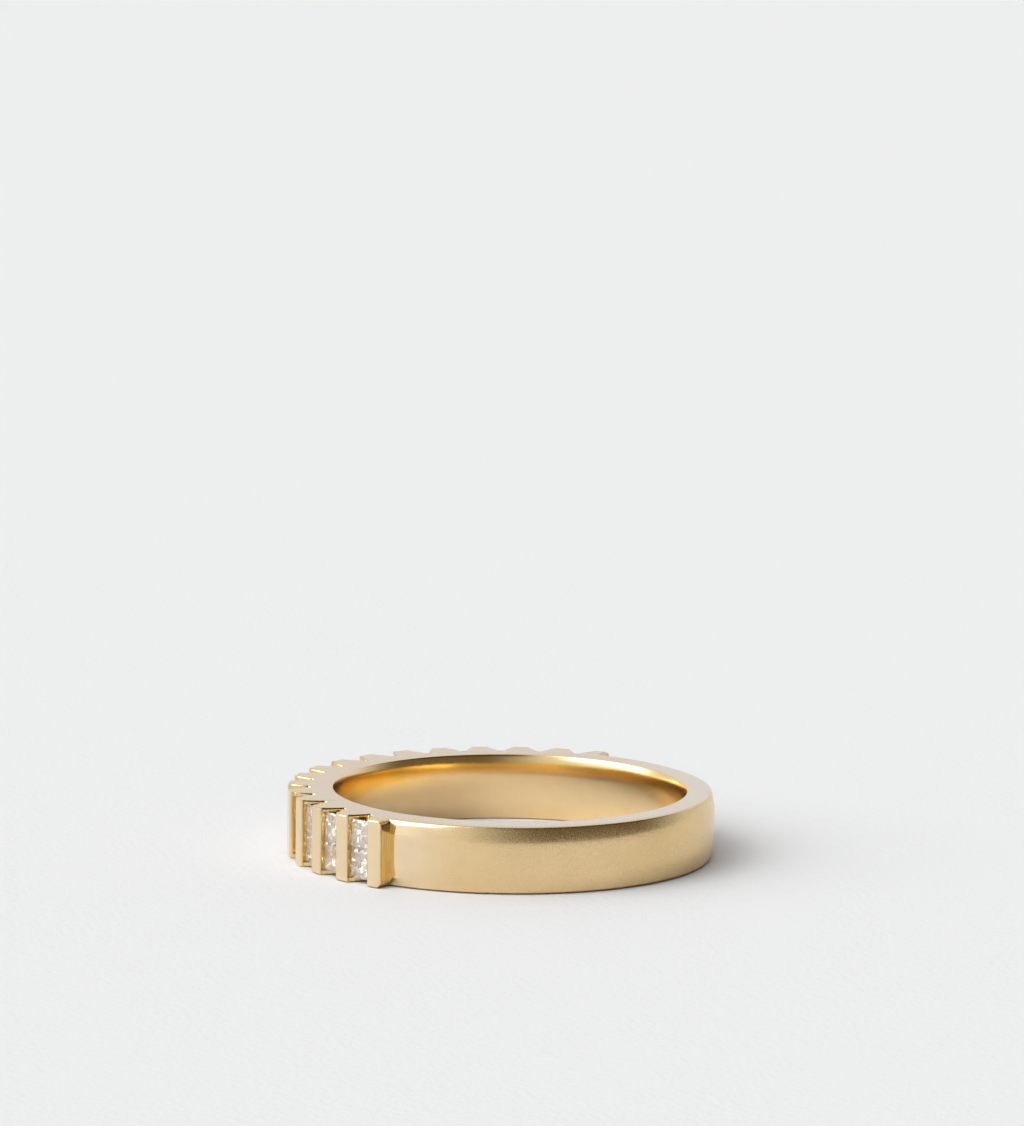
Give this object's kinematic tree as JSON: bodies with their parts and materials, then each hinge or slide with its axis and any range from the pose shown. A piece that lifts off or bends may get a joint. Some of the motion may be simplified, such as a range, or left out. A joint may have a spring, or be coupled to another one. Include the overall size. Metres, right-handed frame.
{
  "type": "half eternity band ring",
  "caption": "Yellow-gold half eternity band with pairs of princess-cut stones held between plain bars over half of the ring.",
  "frame": {"origin": "middle of the finger hole, halfway between the two rims", "axes": "+Z along the finger hole's axis; -Y from the hole towards the middle of the row of stones"},
  "size_m": [0.0218, 0.021, 0.0034],
  "materials": {
    "gold": "satin",
    "stone": "polished"
  },
  "bodies": {
    "root": {"band": "gold", "upper_stone_01": "stone", "upper_stone_02": "stone", "upper_stone_03": "stone", "upper_stone_04": "stone", "upper_stone_05": "stone", "upper_stone_06": "stone", "upper_stone_07": "stone", "upper_stone_08": "stone", "upper_stone_09": "stone", "upper_stone_10": "stone", "upper_stone_11": "stone", "upper_stone_12": "stone", "upper_stone_13": "stone", "upper_stone_14": "stone", "upper_stone_15": "stone", "lower_stone_01": "stone", "lower_stone_02": "stone", "lower_stone_03": "stone", "lower_stone_04": "stone", "lower_stone_05": "stone", "lower_stone_06": "stone", "lower_stone_07": "stone", "lower_stone_08": "stone", "lower_stone_09": "stone", "lower_stone_10": "stone", "lower_stone_11": "stone", "lower_stone_12": "stone", "lower_stone_13": "stone", "lower_stone_14": "stone", "lower_stone_15": "stone"}
  },
  "joints": []
}
